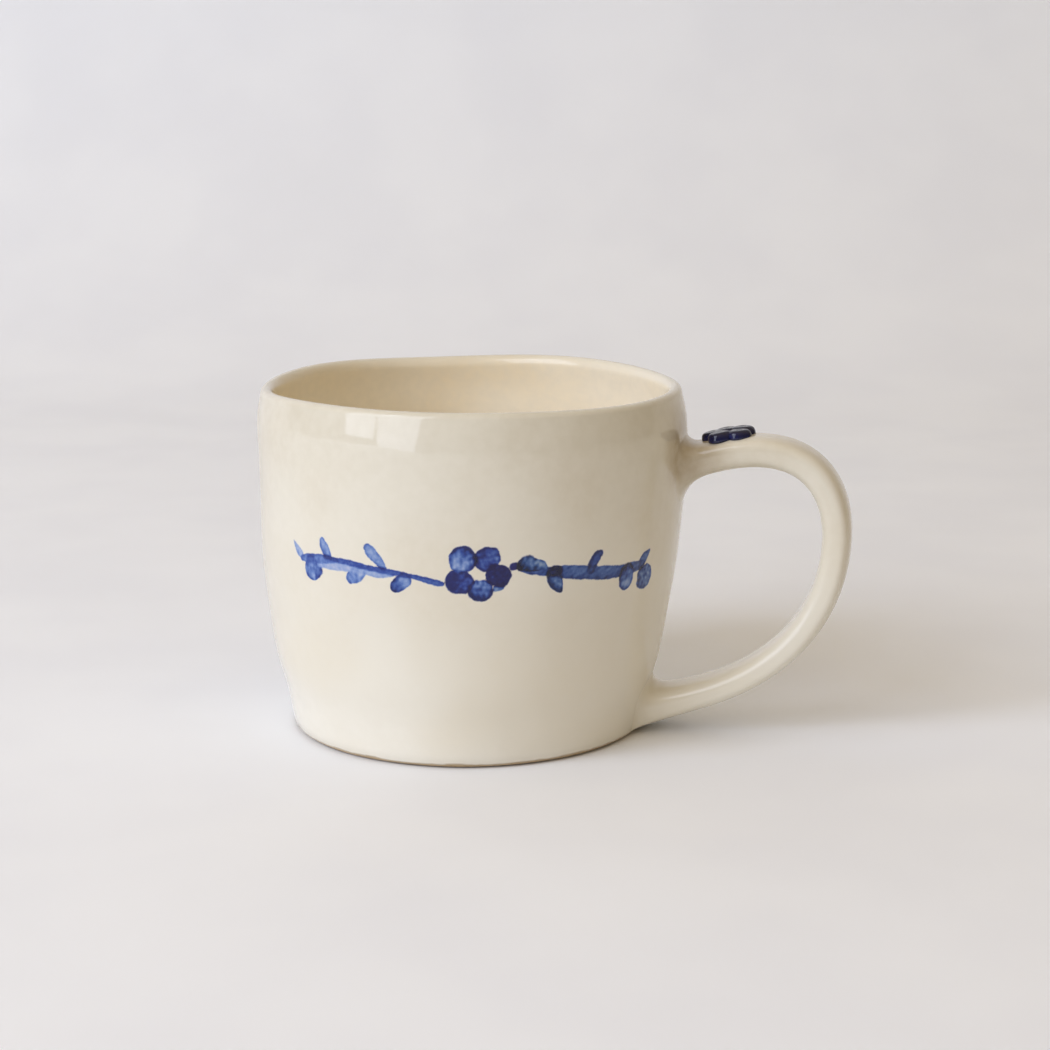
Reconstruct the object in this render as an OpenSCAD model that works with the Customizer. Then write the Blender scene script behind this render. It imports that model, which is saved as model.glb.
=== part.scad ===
/* [Bowl] */
// Height from the table to the highest point of the lip
mug_h = 75; // [70:0.5:82]
// Largest outside radius of the bowl, a little below the lip
belly_r = 46.6; // [45:0.1:48]
// Height at which the bowl is widest
belly_z = 62; // [58:0.5:64]
// Outside radius where the wall meets the foot
foot_r = 38.4; // [36:0.1:40]
// Thickness of the rolled wall
wall_t = 3.5; // [3:0.1:4.5]
// Radius of the rounded lip
lip_r = 1.6; // [1.3:0.1:2]
// How far the lip is drawn in from the widest radius
lip_draw = 0.7; // [0:0.1:1.5]
// Bare bevel round the edge of the foot
foot_bevel = 0.9; // [0.4:0.1:1.5]

/* [Floor] */
// Thickness of the disc that closes the bottom
disc_t = 5; // [4:0.25:7]
// Radius of the smoothed coil in the corner between floor and wall
cove_r = 4; // [2.5:0.25:6]

/* [Handle] */
// Furthest distance of the strap's middle from the mug's axis
reach = 79.3; // [76:0.1:82]
// Height at which the strap reaches furthest out
reach_z = 44.2; // [42:0.1:46]
// Height of the strap's middle at its upper end, inside the bowl's outline
top_z = 55.7; // [54:0.1:57]
// Height of the strap's middle at its lower end, inside the bowl's outline
bottom_z = 5.7; // [5.5:0.1:7]
// Width of the strap
strap_w = 12; // [10:0.25:14]
// Thickness of the strap
strap_t = 5.8; // [5:0.1:7]
// Radius of the clay smoothed round each joint
flare = 2.6; // [1.5:0.1:3.5]

/* [Raised flower] */
// Distance over the tips of the petals
flower_d = 11.8; // [10:0.1:12.5]
// Height of a petal above the strap
petal_h = 1.9; // [1.2:0.1:2.5]
// Radius of the button in the middle of the petals
eye_r = 1.5; // [1.2:0.1:1.8]
// Place of the flower along the strap's upper stretch
flower_at = 0.195; // [0.18:0.005:0.23]
// Turn of the first petal away from the line of the strap, in degrees
petal_turn = 27; // [0:1:72]

/* [Hidden] */
$fn = 96;
petals = 5;

profile_n = 16;        // straight steps in each curve of the bowl's section
foot_squeeze = 0.6;    // the wall is pressed this much thinner round the disc
lip_x = belly_r - lip_draw - lip_r;
lip_z = mug_h - lip_r;
disc_r = foot_r - wall_t + foot_squeeze;
cove_top = cove_r * 0.86;

rings_half = 24;       // rings of the strap on each half of its path
upper_rings = 3;       // of those, the ones that the upper joint coil takes over
lower_rings = 5;       // and the ones that the lower joint coil takes over
coil_rings = 10;       // rings of each joint coil
side_n = 24;           // points round the strap
squareness = 3.2;      // exponent of the strap's section: 2 is an ellipse
root_x = 40;           // the path starts here, well inside the bowl's outline

petal_r = 2.65;
petal_ring = flower_d / 2 - petal_r;
dome_h = 1.1;          // height of a petal's rounded top
petal_root = 2.6;      // how deep a petal reaches before the strap trims it

cream = [0.91, 0.89, 0.82];
bisque = [0.83, 0.76, 0.64];
cobalt = [0.09, 0.11, 0.36];

// A cubic curve through a and d, pulled towards b and c
function bezier(a, b, c, d, t) =
    pow(1 - t, 3) * a + 3 * pow(1 - t, 2) * t * b + 3 * (1 - t) * t * t * c + pow(t, 3) * d;
function bezier_slope(a, b, c, d, t) =
    3 * pow(1 - t, 2) * (b - a) + 6 * (1 - t) * t * (c - b) + 3 * t * t * (d - c);
function curve(a, b, c, d) = [for (i = [0 : profile_n]) bezier(a, b, c, d, i / profile_n)];
function arc(c, r, from, to, n) =
    [for (i = [0 : n]) let (a = from + (to - from) * i / n) c + r * [cos(a), sin(a)]];
function reversed(list) = [for (i = [len(list) - 1 : -1 : 0]) list[i]];
function share(a, b, i, n) = a + (b - a) * i / n;

// The outside of the bowl from the foot up to the lip: a straight lean, then a soft shoulder
function outside() = concat(
    [[foot_r - foot_bevel, 0]],
    curve([foot_r, foot_bevel], [foot_r + 1, 8], [belly_r, belly_z - 40], [belly_r, belly_z]),
    curve([belly_r, belly_z], [belly_r, belly_z + 5],
          [belly_r - 0.3, mug_h - 4], [lip_x + lip_r, lip_z]));

// The inside of the bowl from the floor up to the lip
function inside() = concat(
    curve([disc_r, disc_t], [disc_r + 1, disc_t + 7],
          [belly_r - wall_t, belly_z - 38], [belly_r - wall_t, belly_z]),
    curve([belly_r - wall_t, belly_z], [belly_r - wall_t, belly_z + 5],
          [lip_x - lip_r + 0.2, mug_h - 4], [lip_x - lip_r, lip_z]));

// The strap's middle line in the XZ plane: t runs 0 to 1 over the top, 1 to 2 underneath
upper = [[root_x, top_z], [72.4, top_z + 15], [reach, reach_z + 9.7], [reach, reach_z]];
lower = [[reach, reach_z], [reach, reach_z - 23.9], [58.3, 7], [root_x, bottom_z]];
function path(t) = t < 1
    ? bezier(upper[0], upper[1], upper[2], upper[3], t)
    : bezier(lower[0], lower[1], lower[2], lower[3], t - 1);
function path_slope(t) = t < 1
    ? bezier_slope(upper[0], upper[1], upper[2], upper[3], t)
    : bezier_slope(lower[0], lower[1], lower[2], lower[3], t - 1);
function path_angle(t) = let (s = path_slope(t)) atan2(s.y, s.x);

// The clay swells towards the wall in a soft hollow curve, three times as long as it is high
function swell(gap) = let (d = max(0, min(1, gap / (3 * flare)))) flare * pow(1 - d, 2);

// One ring of points round the strap: a rounded rectangle, more by grow on every side
function ring(t, grow) = [
    for (i = [0 : side_n - 1])
    let (a = 360 * (i + 0.5) / side_n, q = 2 / squareness,
         u = (strap_w / 2 + grow) * sign(cos(a)) * pow(abs(cos(a)), q),
         v = (strap_t / 2 + grow) * sign(sin(a)) * pow(abs(sin(a)), q),
         p = path(t), b = path_angle(t))
    [p.x - v * sin(b), u, p.y + v * cos(b)]
];

// Joins rings into one closed solid
module loft(rings) {
    n = len(rings[0]);
    m = len(rings);
    sides = [
        for (r = [0 : m - 2], i = [0 : n - 1])
        each [[r * n + i, (r + 1) * n + i, (r + 1) * n + (i + 1) % n],
              [r * n + i, (r + 1) * n + (i + 1) % n, r * n + (i + 1) % n]]
    ];
    first = [[for (i = [0 : n - 1]) i]];
    last = [[for (i = [n - 1 : -1 : 0]) (m - 1) * n + i]];
    polyhedron([for (r = rings) each r], concat(sides, first, last), convexity = 4);
}

module strap(from, to, steps) {
    loft([for (i = [0 : steps]) ring(share(from, to, i, steps), 0)]);
}

// Everything inside the bowl's outer skin, used to trim what is pressed onto it
module bowl_block() {
    rotate_extrude() polygon(concat([[0, 0]], outside(), [[0, lip_z]]));
}

module wall() {
    color(cream) rotate_extrude() polygon(concat(
        outside(),
        arc([lip_x, lip_z], lip_r, 15, 165, 10),
        reversed(inside()),
        [[disc_r, 0]]));
}

module base_disc() {
    color(bisque) cylinder(r = disc_r, h = disc_t);
}

// A coil pressed into the corner and smoothed to a hollow quarter round
module floor_seam_coil() {
    cx = disc_r + foot_squeeze - cove_r;
    color(cream) difference() {
        rotate_extrude() polygon(concat(
            arc([cx, disc_t + cove_r], cove_r, -90, -8, 8),
            [[disc_r + 2, disc_t + cove_top], [disc_r + 2, disc_t]]));
        wall();
    }
}

module handle_strap() {
    first = upper_rings;
    last = 2 * rings_half - lower_rings;
    color(cream) strap(first / rings_half, last / rings_half, last - first);
}

// The joint coils start inside the bowl and are trimmed to its skin
module joint_coil(from, to, skin_x) {
    color(cream) difference() {
        loft([
            for (i = [0 : coil_rings])
            let (t = share(from, to, i, coil_rings))
            ring(t, i == coil_rings ? 0 : swell(path(t).x - skin_x))
        ]);
        bowl_block();
    }
}

module upper_joint_coil() {
    joint_coil(0, upper_rings / rings_half, belly_r - 0.5);
}

module lower_joint_coil() {
    mirror([0, 1, 0]) joint_coil(2, 2 - lower_rings / rings_half, foot_r + 1);
}

// The flower's own seat: origin on the strap's face, +Z out of it, +X along the strap
module on_seat() {
    p = path(flower_at);
    b = path_angle(flower_at);
    translate([p.x - sin(b) * strap_t / 2, 0, p.y + cos(b) * strap_t / 2])
        rotate([0, -b, 0])
        children();
}

// A button of clay with a domed top, its root below the strap's face
module dab(r, h) {
    dome = r * 0.8;
    rotate_extrude() polygon(concat(
        [[0, -petal_root], [r, -petal_root]],
        [for (i = [0 : 8])
            let (a = 90 * i / 8)
            [r - dome + dome * cos(a), h + dome_h * (sin(a) - 1)]],
        [[0, h]]));
}

// The stretch of the strap that the flower is pressed onto
module strap_under_flower() {
    strap(2 / rings_half, 10 / rings_half, 8);
}

// One petal: a domed dab held inside its own slice of the round, clear of the eye
module petal(k) {
    half = 180 / petals;
    far = flower_d;
    color(cobalt) difference() {
        on_seat() rotate(petal_turn + k * 2 * half) intersection() {
            translate([petal_ring, 0, 0]) dab(petal_r, petal_h);
            translate([0, 0, -petal_root - 1]) linear_extrude(petal_root + petal_h + 2)
                difference() {
                    polygon([[0, 0], [far, -far * tan(half)], [far, far * tan(half)]]);
                    circle(r = eye_r);
                }
        }
        strap_under_flower();
    }
}

module flower_eye() {
    color(cobalt) difference() {
        on_seat() dab(eye_r, petal_h - 0.3);
        strap_under_flower();
    }
}

wall();
base_disc();
floor_seam_coil();
handle_strap();
upper_joint_coil();
lower_joint_coil();
petal(0);  // petal_1
petal(1);  // petal_2
petal(2);  // petal_3
petal(3);  // petal_4
petal(4);  // petal_5
flower_eye();
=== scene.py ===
# %% [markdown]
# # A hand-built stoneware mug with a painted vine
#
# The mug is made the way a potter makes it: a rolled slab is wrapped round a disc, a strap handle
# is joined on with coils of soft clay, five dabs and a button make a flower for the thumb, and a
# vine is painted on with cobalt before everything is dipped in a clear glaze.
#
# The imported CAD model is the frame. It says where each piece is and how big it is. Each surface
# below is worked out as a whole numpy array in millimetres, in the frame's own axes, and becomes
# a mesh in metres only at the very end.

# %% Load the frame
import bpy
import numpy as np
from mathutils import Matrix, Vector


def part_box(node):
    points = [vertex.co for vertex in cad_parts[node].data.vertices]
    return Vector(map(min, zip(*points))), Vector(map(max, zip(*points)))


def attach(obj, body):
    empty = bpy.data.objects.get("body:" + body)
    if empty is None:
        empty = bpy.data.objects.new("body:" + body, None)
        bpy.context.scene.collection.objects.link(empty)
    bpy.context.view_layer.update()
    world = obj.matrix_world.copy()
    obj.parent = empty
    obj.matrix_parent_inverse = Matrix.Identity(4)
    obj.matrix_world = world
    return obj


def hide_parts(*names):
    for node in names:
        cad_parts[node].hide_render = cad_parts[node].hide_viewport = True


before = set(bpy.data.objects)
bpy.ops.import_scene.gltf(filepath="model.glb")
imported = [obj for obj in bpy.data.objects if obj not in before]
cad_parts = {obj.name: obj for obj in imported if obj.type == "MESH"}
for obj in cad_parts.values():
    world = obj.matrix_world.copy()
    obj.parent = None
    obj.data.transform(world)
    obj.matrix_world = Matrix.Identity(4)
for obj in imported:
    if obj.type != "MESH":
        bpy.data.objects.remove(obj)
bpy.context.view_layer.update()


def far_corner(node):
    """The corner of a CAD node's box that lies furthest along +X, +Y and +Z, in millimetres."""
    return np.array(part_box(node)[1]) * 1000


BELLY, HEIGHT = far_corner("wall")[[0, 2]]
DISC_R, DISC_T = far_corner("base_disc")[[0, 2]]
print(f"mug {HEIGHT:.1f} mm high, {2 * BELLY:.1f} mm across, disc {2 * DISC_R:.1f} x {DISC_T:.1f} mm")

# %% [markdown]
# ## From a grid of points to a mesh
#
# Almost every hand-made shape is a sheet that has been bent round and closed. So one helper takes
# a grid of points, rows by columns, and joins neighbours with four-sided faces. It closes the grid
# round its columns, and it can close it round its rows too, or gather its first and its last row
# into a single point. Modelling tools such as Extrude and Loop Cut could build the same shapes by
# hand, but a grid keeps every formula in plain sight.

# %% Faces of a grid
def grid_faces(rows, cols, loop_rows, loop_cols):
    """Corner numbers of the quads between row i and i + 1, column j and j + 1."""
    i = np.arange(rows if loop_rows else rows - 1)[:, None]
    j = np.arange(cols if loop_cols else cols - 1)[None, :]
    i2, j2 = (i + 1) % rows, (j + 1) % cols
    corners = [i * cols + j, i * cols + j2, i2 * cols + j2, i2 * cols + j]
    return np.stack(corners, axis=-1).reshape(-1, 4)


def cap(ring, centre, flip):
    """Triangles from a closed ring of corner numbers to one more point in its middle."""
    after = np.roll(ring, -1)
    middle = np.full(len(ring), centre)
    return np.stack([after, ring, middle] if flip else [ring, after, middle], axis=-1)


print(f"3 rows of 4 points, closed round, give {len(grid_faces(3, 4, False, True))} faces")

# %% A grid becomes a piece of the mug
def make_piece(name, grid, loop_rows=False, caps=(None, None), normals=None):
    """A mesh object from grid, shaped (rows, columns, 3) in mm, always closed round its columns.

    caps are the points in mm that close the first and the last row, or None where it stays open.
    normals, shaped like grid, replace the shading normals where one sheet runs over several pieces.
    """
    rows, cols = grid.shape[:2]
    points = [grid.reshape(-1, 3)]
    faces = grid_faces(rows, cols, loop_rows, True).tolist()
    count = rows * cols
    for point, row, flip in ((caps[0], 0, True), (caps[1], rows - 1, False)):
        if point is not None:
            points.append(np.asarray(point, float).reshape(1, 3))
            faces += cap(row * cols + np.arange(cols), count, flip).tolist()
            count += 1
    mesh = bpy.data.meshes.new(name)
    mesh.from_pydata((np.vstack(points) / 1000).tolist(), [], faces)
    mesh.validate()
    mesh.shade_smooth()
    if normals is not None:
        spare = [(0, 0, 0)] * (len(mesh.vertices) - rows * cols)
        mesh.normals_split_custom_set_from_vertices(normals.reshape(-1, 3).tolist() + spare)
    piece = bpy.data.objects.new(name, mesh)
    bpy.context.scene.collection.objects.link(piece)
    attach(piece, "root")
    print(f"{name}: {len(mesh.vertices)} points, {len(mesh.polygons)} faces")
    return piece


# %% [markdown]
# ## The bowl's skin
#
# A slab wrapped by hand is never quite round. A profile spun with the Screw modifier would be too
# perfect, so the radius is a formula instead. Its outline is a smooth curve of radius against
# height. On top of that come a few slow waves round the circumference, a slight lean of the foot
# away from the handle, and a lip that rises and dips by a fraction of a millimetre. Everything
# else is fixed to this skin, so it is one function that the handle's joints can ask as well.

# %% Smooth curves
def smooth_step(low, high, x):
    """Rises from 0 at low to 1 at high, flat at both ends: 3t^2 - 2t^3."""
    t = np.clip((x - low) / (high - low), 0, 1)
    return t * t * (3 - 2 * t)


def spline(knots, x):
    """A smooth curve through (place, value) knots: cubic Hermite pieces with averaged slopes."""
    k, v = np.array(knots, float).T
    slope = np.gradient(v, k)
    i = np.clip(np.searchsorted(k, x) - 1, 0, len(k) - 2)
    h = k[i + 1] - k[i]
    t = (x - k[i]) / h
    keep = (1 + 2 * t) * (1 - t) ** 2 * v[i] + t * t * (3 - 2 * t) * v[i + 1]
    return keep + h * (t * (1 - t) ** 2 * slope[i] + t * t * (t - 1) * slope[i + 1])


print(f"a quarter of the way, smooth_step has risen to {smooth_step(0, 1, 0.25):.3f}")

# %% Outline and lean
OUTLINE = [  # height, outside radius
    (0, 38.5), (2.5, 39.0), (8, 40.0), (16, 42.2), (26, 43.9), (38, 45.5),
    (50, 46.2), (62, BELLY), (69, BELLY - 0.15), (74, BELLY - 1.1),
]
LEAN = [(0, -1.3), (20, -1.3), (40, -0.8), (58, -0.1), (75, -0.4)]  # height, shift of the centre
VIEW_TURN = np.radians(11)  # the painted front faces this much to the right of -Y
LEAN_WAY = np.array([np.cos(VIEW_TURN), np.sin(VIEW_TURN)])
print(f"the outline bulges from {OUTLINE[0][1]} mm at the foot to {BELLY:.1f} mm")

# %% Slow waves
def lip_wave(angle):
    """How far the lip stands above its mean height: four slow cosines round the rim."""
    waves = ((2, 0.22, 82), (3, 0.13, 38), (4, 0.2, -25), (5, 0.14, 8))
    return sum(a * np.cos(n * (angle - np.radians(turn))) for n, a, turn in waves)


def hand_wave(angle, z):
    """Fingers leave slow hollows in a slab: cosines round it whose phase drifts with height."""
    up = z / HEIGHT
    return (
        0.16 * up * np.cos(2 * angle + 0.8)
        + 0.11 * np.cos(3 * angle - 1.1 + 2.2 * up)
        + 0.06 * np.cos(5 * angle + 0.4 - 4.0 * up)
        + 0.035 * np.cos(9 * angle + 5.0 * up)
    )


rim_lift = lip_wave(np.linspace(-np.pi, np.pi, 361))
print(f"the lip dips {-rim_lift.min():.2f} mm and rises {rim_lift.max():.2f} mm")

# %% The skin itself
def bowl_radius(angle, z):
    """Outside radius at an angle and a height."""
    return spline(OUTLINE, z) + hand_wave(angle, z)


def bowl_point(angle, z, radius):
    """Points at a radius round the leaning axis; the lip's wave lifts them near the top."""
    shift = spline(LEAN, z)
    lift = lip_wave(angle) * smooth_step(45, HEIGHT, z)
    x = radius * np.cos(angle) + shift * LEAN_WAY[0]
    y = radius * np.sin(angle) + shift * LEAN_WAY[1]
    return np.stack(np.broadcast_arrays(x, y, z + lift), axis=-1)


print(f"under the handle, half way up, the radius is {bowl_radius(0.0, HEIGHT / 2):.2f} mm")

# %% [markdown]
# ## The painted vine
#
# The vine is laid on with a loaded round brush. Each leaf and petal is one dab, and each length of
# stem is one drag of the brush. Where a dab dries, pigment gathers at its rim, and where two
# strokes cross they grow darker. A picture could hold that, but a list of strokes is truer: for
# every stroke this works out the distance to its edge and how much cobalt it carries, over the
# part of the wall that it covers. The wall's grid is fine there, so both can be kept as plain
# attributes of the mesh, and the material keeps a crisp edge however near the camera comes.
#
# The flower's five petals are dabs in a ring, and no two carry the same amount of cobalt.
# Places are in millimetres: how far round the bowl from the middle of the front, and how high.

# %% Distances round the bowl
ROUND_R = 46.0                   # mm: the radius at which they are counted
FRONT = np.radians(-90) + VIEW_TURN
print(f"one degree round the bowl is {np.radians(ROUND_R):.2f} mm")

# %% The dabs
UNDER_STEMS = 3                  # so many of the dabs are laid on before the drags

# A dab: place round, height, half length, half width, turn in degrees; how much it narrows to its
# far end, how much its lower side is flattened (negative: its upper side); then what it carries:
# cobalt in the middle, more at the rim, the darker side in degrees, tinge from violet to green.
DABS = [
    (-35.2, 40.9, 2.45, 2.6, -122, 0.30, 0.0, 0.40, 0.24, 50, 0.1),
    (-23.5, 41.3, 2.7, 1.6, -145, 0.10, 0.0, 0.26, 0.14, 225, 0.1),
    (-13.4, 40.5, 2.6, 1.65, -140, 0.15, 0.0, 0.38, 0.30, 180, 0.2),
    (6.9, 39.9, 1.2, 0.8, 20, 0.0, 0.0, 0.30, 0.10, 0, 0.8),
    (3.2, 39.25, 2.6, 2.3, 0, 0.0, 0.0, 0.54, 0.44, 260, 0.2),
    (-1.2, 41.1, 3.0, 2.55, -8, 0.0, 0.0, 0.76, 0.30, 140, -0.3),
    (4.3, 45.9, 2.7, 2.5, 30, 0.05, 0.0, 0.60, 0.32, 160, -0.25),
    (-0.7, 45.8, 2.75, 2.8, 10, 0.0, 0.0, 0.40, 0.50, 60, 0.1),
    (6.7, 42.4, 2.7, 2.25, -15, 0.0, 0.0, 0.92, 0.10, 0, -0.4),
    (9.9, 44.2, 1.05, 0.85, 0, 0.0, 0.0, 0.80, 0.10, 0, -0.6),
    (13.7, 43.7, 3.4, 2.3, -4, 0.38, 0.72, 0.50, 0.46, 225, 0.9),
    (19.3, 40.7, 2.95, 2.05, -68, 0.35, -0.45, 0.46, 0.30, 215, 0.7),
    (18.8, 42.7, 1.5, 1.15, 0, 0.0, 0.0, 0.74, 0.16, 60, 0.3),
    (37.3, 39.0, 2.9, 2.2, 92, 0.0, 0.0, 0.44, 0.36, 150, 0.3),
    (43.6, 37.9, 2.7, 2.8, 90, 0.0, 0.0, 0.48, 0.16, 180, 0.5),
]

print(f"{len(DABS)} dabs, the largest {2 * max(dab[3] for dab in DABS):.1f} mm wide")

# %% The drags
# A drag: cobalt, more at the rim, darker side, tinge, then (place round, height, half width).
DRAGS = [
    (0.14, 0.08, 180, 0.1, [(-41.5, 46.2, 0.15), (-40.3, 44.9, 0.7), (-39.1, 43.8, 0.9),
                            (-38.2, 43.0, 0.6)]),
    (0.28, 0.14, 200, 0.1, [(-32.2, 47.3, 0.85), (-31.9, 46.6, 1.1), (-31.2, 45.5, 1.15),
                            (-30.4, 44.2, 0.85)]),
    (0.18, 0.26, 150, 0.2, [(-20.7, 47.3, 0.95), (-20.1, 46.6, 1.2), (-18.9, 45.4, 1.1),
                            (-17.5, 44.0, 0.9), (-16.9, 43.3, 0.6)]),
    (0.10, 0.05, 90, 0.0, [(-33.0, 42.6, 0.9), (-28.5, 42.7, 1.15), (-24.5, 42.6, 0.75),
                           (-22.0, 42.6, 0.3)]),
    (0.12, 0.05, 270, 0.1, [(-22.8, 42.6, 0.5), (-18.5, 42.1, 0.95), (-15.0, 42.1, 0.35)]),
    (0.34, 0.16, 90, 0.0, [(-38.3, 42.8, 0.65), (-36.3, 43.2, 0.95), (-34.0, 43.4, 1.0),
                           (-31.2, 43.7, 0.9), (-28.6, 43.8, 0.5)]),
    (0.50, 0.12, 90, 0.0, [(-31.6, 44.1, 0.3), (-28.0, 43.9, 0.5), (-24.6, 43.7, 0.6),
                           (-21.0, 43.2, 0.55), (-17.6, 42.9, 0.6), (-14.1, 42.5, 0.6),
                           (-10.6, 42.0, 0.5), (-8.0, 41.4, 0.65), (-5.9, 40.9, 0.72),
                           (-4.7, 40.7, 0.5)]),
    (0.62, 0.24, 150, 0.2, [(27.0, 42.0, 0.9), (27.3, 43.0, 1.1), (27.9, 44.1, 1.15),
                            (28.5, 44.9, 1.2), (29.0, 45.2, 0.9)]),
    (0.46, 0.14, 150, 0.5, [(42.0, 40.7, 1.1), (42.3, 41.5, 1.25), (43.0, 42.4, 1.2),
                            (44.0, 43.1, 0.75), (44.4, 43.4, 0.4)]),
    (0.52, 0.14, 270, 0.5, [(11.0, 43.7, 0.55), (13.2, 43.2, 0.8), (15.6, 42.8, 0.9),
                            (18.5, 42.5, 1.15), (22.0, 42.1, 1.45), (26.0, 41.5, 1.5),
                            (31.0, 40.9, 1.5), (35.0, 40.6, 1.35), (39.0, 40.7, 1.25),
                            (42.2, 40.8, 1.0)]),
]
print(f"{len(DRAGS)} drags of the brush through {sum(len(drag[-1]) for drag in DRAGS)} points")

# %% How far inside a dab
DAB_N = 2.35                     # exponent of a dab's outline: 2 is an ellipse
CLEAR = 1e-9                     # keeps a division away from nought


def dab_depth(u, z, place, height, along, across, turn, taper, flat):
    """Millimetres inside a dab's edge, at each place.

    With p and q the distances along and across the dab, each over its half size, the edge is
    where (|p|^n + |q|^n)^(1/n) is 1. Dividing by its own slope turns it into millimetres, which
    hold near the edge and grow without limit towards the middle.
    taper narrows the far end. flat draws in the lower side, or the upper one if it is negative.
    """
    a = np.radians(turn)
    p = ((u - place) * np.cos(a) + (z - height) * np.sin(a)) / along
    q = ((z - height) * np.cos(a) - (u - place) * np.sin(a)) / across
    q = q / np.clip(1 - taper * p, 0.3, 2)
    q = np.where(q * flat < 0, q / (1 - abs(flat)), q)
    p, q = np.abs(p), np.abs(q)
    reach = (p ** DAB_N + q ** DAB_N + CLEAR) ** (1 / DAB_N)
    slope = np.hypot(p ** (DAB_N - 1) / along, q ** (DAB_N - 1) / across) + CLEAR
    slope = slope / reach ** (DAB_N - 1)
    return (1 - reach) / slope


petal = DABS[7][:7]
half_way = np.array(petal[0] + petal[2] / 2), np.array(petal[1])
print(f"half way to its right edge, a petal is {dab_depth(*half_way, *petal):.1f} mm deep")

# %% How far inside a drag
LINE_STEPS = 14                  # places on the middle line for each of its points


def drag_depth(u, z, points):
    """Millimetres inside a drag, and where its middle line passes nearest.

    That is half its width at the nearest place on its middle line, less the distance to it.
    """
    knots = np.array(points).T
    steps = np.arange(len(points))
    fine = np.linspace(0, steps[-1], LINE_STEPS * len(points))
    mid = [spline(np.stack([steps, k], axis=-1), fine) for k in knots]
    gap = np.hypot(u[..., None] - mid[0], z[..., None] - mid[1])
    near = gap.argmin(axis=-1)
    return mid[2][near] - gap.min(axis=-1), mid[0][near], mid[1][near]


stem = DRAGS[-1][-1]
stem_depth = drag_depth(np.array([stem[4][0]]), np.array([stem[4][1]]), stem)[0][0]
print(f"the thick stem is {stem_depth:.1f} mm deep in its middle")

# %% An uneven hand
RIPPLES = 9
RIPPLE_GAIN = 2.5


def ripple(u, z, seed, low=0.9, high=4.0):
    """A soft uneven value, mostly from -1 to 1.

    It is RIPPLE_GAIN times the mean of nine cosines in seeded directions.
    low and high are their least and greatest number of radians per millimetre.
    """
    rng = np.random.default_rng(seed)
    turns = rng.uniform(0, 2 * np.pi, RIPPLES)
    waves = rng.uniform(low, high, RIPPLES)
    phases = rng.uniform(0, 2 * np.pi, RIPPLES)
    way = u[..., None] * np.cos(turns) + z[..., None] * np.sin(turns)
    return np.cos(waves * way + phases).mean(axis=-1) * RIPPLE_GAIN


probe = np.linspace(0, 50, 500)
print(f"the ripple runs from {ripple(probe, probe, 0).min():.1f} to {ripple(probe, probe, 0).max():.1f}")

# %% One stroke is laid on
WANDER = 0.14                    # mm that a broad dab's edge wanders
WANDER_SIZE = 2.2                # half width of a stroke that wanders by the whole of that
RIM_W = 0.6                      # mm over which pigment gathers at a rim
LEAN_GAIN = 0.7                  # the darker side's part of the same extra cobalt
BLOT_FINE, BLOT_BROAD = 0.13, 0.10   # cobalt that fine and broad mottling add or take away
MOST, LEAST = 0.84, 0.05         # limits of one stroke's cobalt
COVERED = 0.72                   # share of the cobalt underneath that a new stroke hides


def lay_on(paint, u, z, depth, mid_u, mid_z, size, load, seed):
    """Adds one stroke: the outermost edge counts, and crossing strokes grow darker.

    Across the stroke the cobalt rises to its rim by exp(-(depth / RIM_W)^2), leans to its darker
    side in proportion to the distance from its middle, and is mottled by a ripple. Of the cobalt
    underneath, 1 - COVERED shows through and is added.
    """
    cobalt, rim, dark, tinge = load
    depth = depth + WANDER * min(1, size / WANDER_SIZE) * ripple(u, z, seed)
    cover = smooth_step(-0.3, 0.15, depth)
    a = np.radians(dark)
    lean = np.clip(((u - mid_u) * np.cos(a) + (z - mid_z) * np.sin(a)) / size, -1, 1)
    most = max(cobalt, MOST)
    mottle = min(1, size / 2) ** 2
    cobalt = cobalt + rim * (np.exp(-((depth / RIM_W) ** 2)) + LEAN_GAIN * lean)
    cobalt = cobalt + mottle * BLOT_FINE * ripple(u, z, seed + 1, 2.0, 7.0)
    cobalt = cobalt + mottle * BLOT_BROAD * ripple(u, z, seed + 2)
    paint["edge"] = np.maximum(paint["edge"], depth)
    paint["tinge"] = paint["tinge"] * (1 - cover) + tinge * cover
    cobalt = np.clip(cobalt, LEAST, most)
    paint["cobalt"] = paint["cobalt"] * (1 - COVERED * cover) + cobalt * cover


print(f"where two full strokes cross, {(1 - COVERED) * 100:.0f}% of the lower one is added")

# %% The whole vine
BARE = -4.0                      # mm: an edge distance that stands for no paint at all


def drag_all(paint, u, z):
    """Lays on every drag in turn."""
    for k, (*load, points) in enumerate(DRAGS):
        depth, mid_u, mid_z = drag_depth(u, z, points)
        size = max(p[2] for p in points)
        lay_on(paint, u, z, depth, mid_u, mid_z, size, load, 10 * k)


def paint_vine(u, z):
    """The edge distance in mm, the cobalt from 0 to 1 and the tinge, at each place."""
    paint = {"edge": np.full(u.shape, BARE), "cobalt": np.zeros(u.shape), "tinge": np.zeros(u.shape)}
    for k, dab in enumerate(DABS):
        if k == UNDER_STEMS:
            drag_all(paint, u, z)
        depth = dab_depth(u, z, *dab[:7])
        lay_on(paint, u, z, depth, dab[0], dab[1], dab[3], dab[7:], 200 + 10 * k)
    paint["cobalt"] = np.clip(paint["cobalt"], 0, 1)
    return paint


probe = paint_vine(np.array([DABS[8][0]]), np.array([DABS[8][1]]))
print(f"the darkest petal carries {probe['cobalt'][0]:.2f} of full cobalt in its middle")

# %% [markdown]
# ## The wall
#
# The wall is one closed sheet: up the outside, over the rounded lip, down the inside and back
# under the foot. Solidify could thicken the outside alone, but it would make a square lip, where
# a finger rounds it while the clay is soft. Columns and rows are close together where the vine is
# painted, a quarter of a millimetre apart, and wider everywhere else.

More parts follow.
